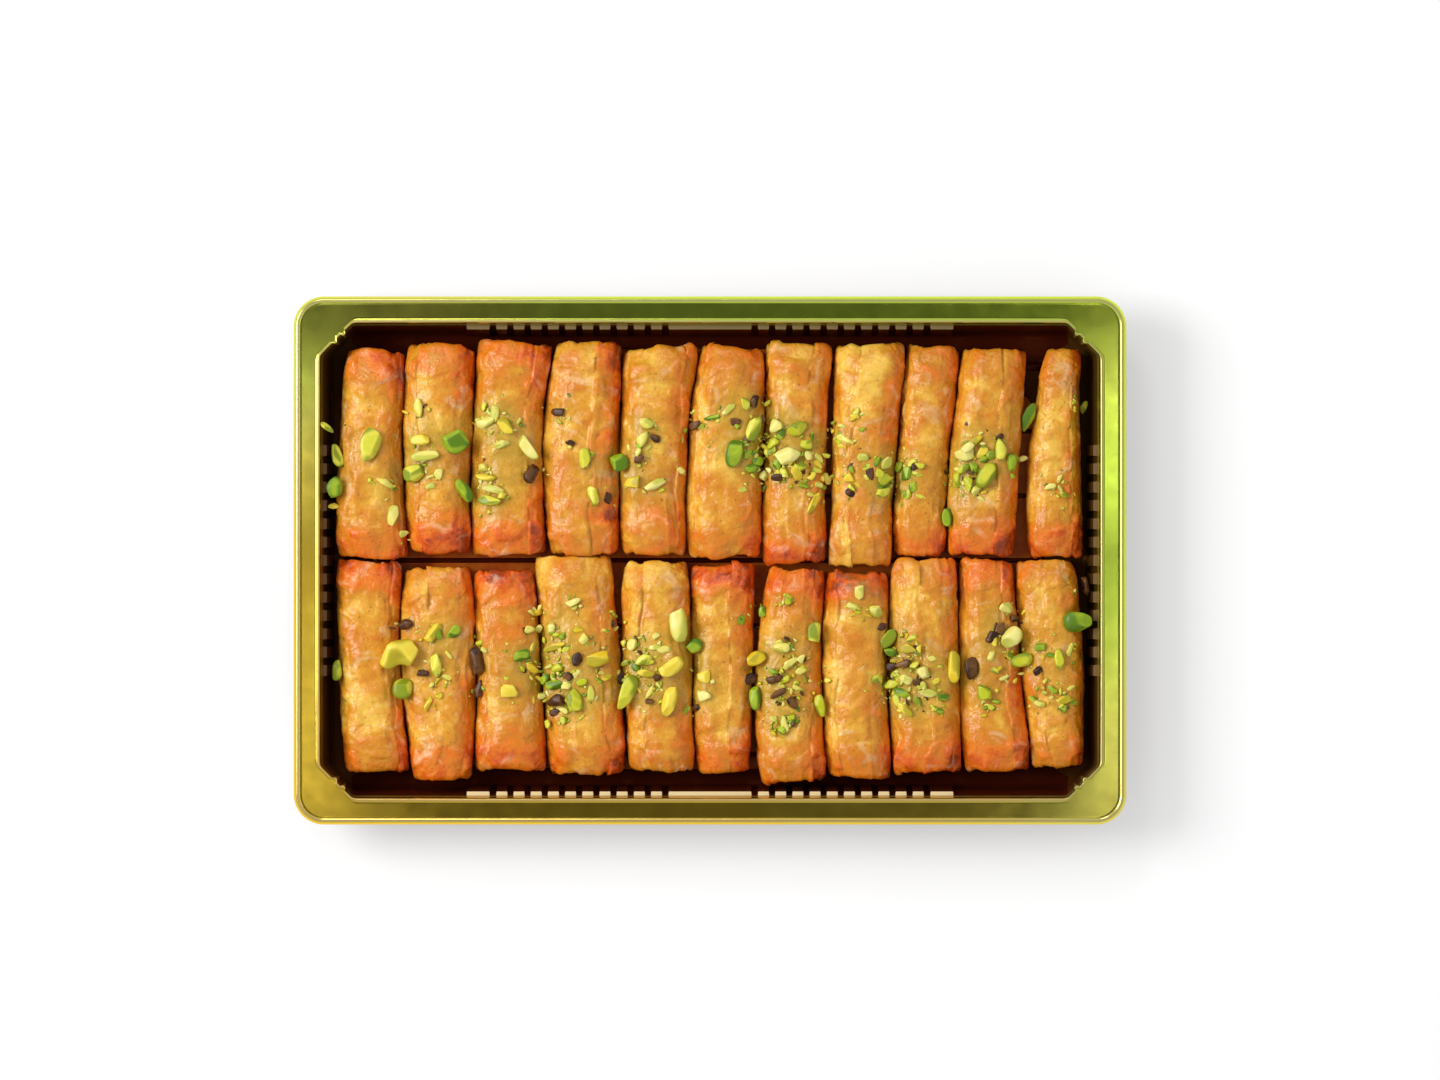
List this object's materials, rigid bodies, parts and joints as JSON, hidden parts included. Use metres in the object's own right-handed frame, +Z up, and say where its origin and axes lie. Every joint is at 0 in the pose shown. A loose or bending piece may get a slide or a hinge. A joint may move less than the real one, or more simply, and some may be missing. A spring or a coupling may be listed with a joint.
{
  "type": "tray of cheese fingers",
  "caption": "Shallow gold and black plastic pastry tray filled with two rows of syrup-glazed filo cheese fingers under chopped pistachios.",
  "frame": {"origin": "on the table, under the middle of the tray", "axes": "+X along the tray's long side, +Y towards the far row of fingers, +Z up"},
  "size_m": [0.218, 0.1384, 0.0223],
  "materials": {
    "tray_plastic": "gold mirror film on the rim over a black inside",
    "baked_filo": "baked, brushed with syrup",
    "pistachio": "chopped, moist"
  },
  "bodies": {
    "root": {"tray": "tray_plastic", "finger_far_01": "baked_filo", "finger_far_02": "baked_filo", "finger_far_03": "baked_filo", "finger_far_04": "baked_filo", "finger_far_05": "baked_filo", "finger_far_06": "baked_filo", "finger_far_07": "baked_filo", "finger_far_08": "baked_filo", "finger_far_09": "baked_filo", "finger_far_10": "baked_filo", "finger_far_11": "baked_filo", "finger_near_01": "baked_filo", "finger_near_02": "baked_filo", "finger_near_03": "baked_filo", "finger_near_04": "baked_filo", "finger_near_05": "baked_filo", "finger_near_06": "baked_filo", "finger_near_07": "baked_filo", "finger_near_08": "baked_filo", "finger_near_09": "baked_filo", "finger_near_10": "baked_filo", "finger_near_11": "baked_filo", "pistachio_01": "pistachio", "pistachio_02": "pistachio", "pistachio_03": "pistachio", "pistachio_04": "pistachio", "pistachio_05": "pistachio", "pistachio_06": "pistachio", "pistachio_07": "pistachio", "pistachio_08": "pistachio", "pistachio_09": "pistachio", "pistachio_10": "pistachio", "pistachio_11": "pistachio", "pistachio_12": "pistachio", "pistachio_13": "pistachio", "pistachio_14": "pistachio", "pistachio_15": "pistachio", "pistachio_16": "pistachio", "pistachio_17": "pistachio", "pistachio_18": "pistachio", "pistachio_19": "pistachio", "pistachio_20": "pistachio", "pistachio_21": "pistachio", "pistachio_22": "pistachio", "pistachio_23": "pistachio", "pistachio_24": "pistachio", "pistachio_25": "pistachio", "pistachio_26": "pistachio", "pistachio_27": "pistachio", "pistachio_28": "pistachio", "pistachio_29": "pistachio", "pistachio_30": "pistachio", "pistachio_31": "pistachio", "pistachio_32": "pistachio", "pistachio_33": "pistachio", "pistachio_34": "pistachio", "pistachio_35": "pistachio"}
  },
  "joints": []
}
